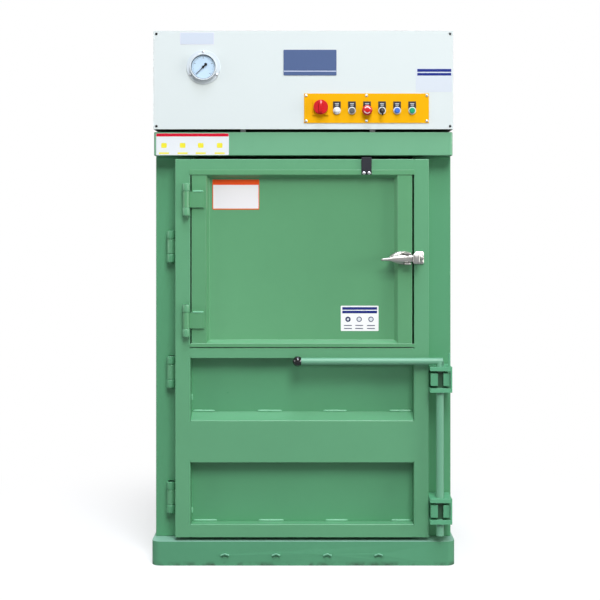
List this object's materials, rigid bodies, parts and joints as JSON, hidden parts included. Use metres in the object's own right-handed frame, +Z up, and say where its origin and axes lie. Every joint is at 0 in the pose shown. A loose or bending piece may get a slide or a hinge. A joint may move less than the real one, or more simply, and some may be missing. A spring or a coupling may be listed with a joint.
{
  "type": "vertical recycling baler",
  "caption": "Upright green recycling baler with a white hood, a hinged main door with a rod lock, a feed door, a hydraulic platen, push-button controls and a pressure gauge.",
  "frame": {"origin": "middle of the footprint on the floor", "axes": "+Z up, -Y towards the person at the doors, +X to that person's right"},
  "size_m": [1.186, 0.913, 2.087],
  "materials": {
    "base_paint": "satin",
    "frame_paint": "satin",
    "header_paint": "satin",
    "door_paint": "satin",
    "feed_paint": "satin",
    "lock_paint": "satin",
    "white_coat": "satin",
    "yellow_coat": "satin",
    "chamber_steel": "rolled",
    "ram_steel": "ground",
    "screw_steel": "plated",
    "barrel_paint": "satin",
    "latch_chrome": "polished",
    "motor_cast": "cast and painted",
    "box_paint": "satin",
    "black_steel": "satin",
    "black_plastic": "moulded",
    "ball_plastic": "polished",
    "red_plastic": "moulded",
    "white_plastic": "moulded",
    "grey_plastic": "moulded",
    "blue_plastic": "moulded",
    "green_plastic": "moulded",
    "stem_plastic": "moulded",
    "gauge_steel": "polished",
    "dial_paint": "matt",
    "gauge_glass": "clear",
    "pointer_black": "matt",
    "guide_nylon": "moulded",
    "keeper_paint": "satin, bare inside the slot"
  },
  "bodies": {
    "frame": {"base_front_rail": "base_paint", "base_side_rails": "base_paint", "floor_plate": "chamber_steel", "front_columns": "frame_paint", "rear_columns": "frame_paint", "side_walls": "frame_paint", "rear_wall": "frame_paint", "wall_ribs": "frame_paint", "header_beam": "header_paint", "top_rails": "frame_paint", "top_deck": "frame_paint", "power_tray": "white_coat", "front_panel": "white_coat", "hood_cover": "white_coat", "rear_cover": "white_coat", "panel_screws": "black_steel", "control_plate": "yellow_coat", "cover_screws": "screw_steel", "legend_plates": "black_plastic", "switch_bezels": "white_plastic", "gauge_case": "gauge_steel", "gauge_dial": "dial_paint", "gauge_glass": "gauge_glass", "ram_barrel": "barrel_paint", "oil_tank": "frame_paint", "pump_motor": "motor_cast", "valve_block": "screw_steel", "electrics_box": "box_paint", "cable_gland": "black_plastic", "column_hinges": "frame_paint", "lock_keepers": "keeper_paint"},
    "main_door": {"door_stiles": "door_paint", "door_rails": "door_paint", "door_belly": "door_paint", "door_skin": "door_paint", "door_knuckles": "door_paint", "feed_hinge_knuckles": "door_paint", "lock_ears": "lock_paint", "latch_keeper": "latch_chrome"},
    "lock": {"lock_rod": "lock_paint", "lever_knob": "ball_plastic"},
    "feed_door": {"feed_panel": "feed_paint", "feed_hinge_leaves": "feed_paint", "interlock_strap": "black_steel", "strap_rivets": "screw_steel", "latch_body": "latch_chrome"},
    "latch": {"latch_handle": "latch_chrome"},
    "platen": {"press_platen": "frame_paint", "platen_guides": "guide_nylon", "ram_plunger": "ram_steel"},
    "outer_stage": {"ram_stage_outer": "ram_steel"},
    "inner_stage": {"ram_stage_inner": "ram_steel"},
    "main_switch": {"main_switch_knob": "red_plastic"},
    "grey_push": {"grey_button": "grey_plastic"},
    "blue_push": {"blue_button": "blue_plastic"},
    "green_push": {"green_button": "green_plastic"},
    "stop_push": {"estop_stem": "stem_plastic"},
    "stop_head": {"estop_head": "red_plastic"},
    "key": {"key_switch": "black_plastic"},
    "pointer": {"gauge_pointer": "pointer_black"}
  },
  "joints": [
    {"name": "main_door_swing", "type": "hinge", "parent": "frame", "child": "main_door", "pos_m": [-0.5225, -0.3585, 0.75], "axis": [0, 0, -1], "range_deg": [0, 110]},
    {"name": "feed_door_swing", "type": "hinge", "parent": "main_door", "child": "feed_door", "pos_m": [-0.457, -0.4255, 1.2], "axis": [0, 0, -1], "range_deg": [0, 110]},
    {"name": "latch_pull", "type": "hinge", "parent": "feed_door", "child": "latch", "pos_m": [0.405, -0.4405, 1.1985], "axis": [0, 0, 1], "range_deg": [0, 60], "stiffness_Nm_per_rad": 0.5},
    {"name": "lock_turn", "type": "hinge", "parent": "main_door", "child": "lock", "pos_m": [0.5315, -0.435, 0.46], "axis": [0, 0, 1], "range_deg": [0, 110]},
    {"name": "platen_press", "type": "slide", "parent": "frame", "child": "platen", "axis": [0, 0, 1], "range_m": [-0.85, 0]},
    {"name": "outer_stage_slide", "type": "slide", "parent": "frame", "child": "outer_stage", "axis": [0, 0, 1], "range_m": [-0.2835, 0]},
    {"name": "inner_stage_slide", "type": "slide", "parent": "frame", "child": "inner_stage", "axis": [0, 0, 1], "range_m": [-0.567, 0]},
    {"name": "main_switch_turn", "type": "hinge", "parent": "frame", "child": "main_switch", "pos_m": [0.068, -0.43, 1.788], "axis": [0, 1, 0], "range_deg": [0, 90]},
    {"name": "grey_press", "type": "slide", "parent": "frame", "child": "grey_push", "axis": [0, 1, 0], "range_m": [0, 0.004], "stiffness_N_per_m": 900},
    {"name": "blue_press", "type": "slide", "parent": "frame", "child": "blue_push", "axis": [0, 1, 0], "range_m": [0, 0.004], "stiffness_N_per_m": 900},
    {"name": "green_press", "type": "slide", "parent": "frame", "child": "green_push", "axis": [0, 1, 0], "range_m": [0, 0.004], "stiffness_N_per_m": 900},
    {"name": "stop_press", "type": "slide", "parent": "frame", "child": "stop_push", "axis": [0, 1, 0], "range_m": [0, 0.005]},
    {"name": "stop_twist", "type": "hinge", "parent": "stop_push", "child": "stop_head", "pos_m": [0.2484, -0.445, 1.775], "axis": [0, 1, 0], "range_deg": [0, 45], "stiffness_Nm_per_rad": 0.05},
    {"name": "key_turn", "type": "hinge", "parent": "frame", "child": "key", "pos_m": [0.3071, -0.43, 1.775], "axis": [0, 1, 0], "range_deg": [0, 90]},
    {"name": "pointer_turn", "type": "hinge", "parent": "frame", "child": "pointer", "pos_m": [-0.3896, -0.434, 1.9445], "axis": [0, 1, 0], "range_deg": [0, 270], "stiffness_Nm_per_rad": 0.01}
  ],
  "couplings": [
    {"joint": "outer_stage_slide", "follows": "platen_press", "ratio": 0.33333},
    {"joint": "inner_stage_slide", "follows": "platen_press", "ratio": 0.66667}
  ]
}
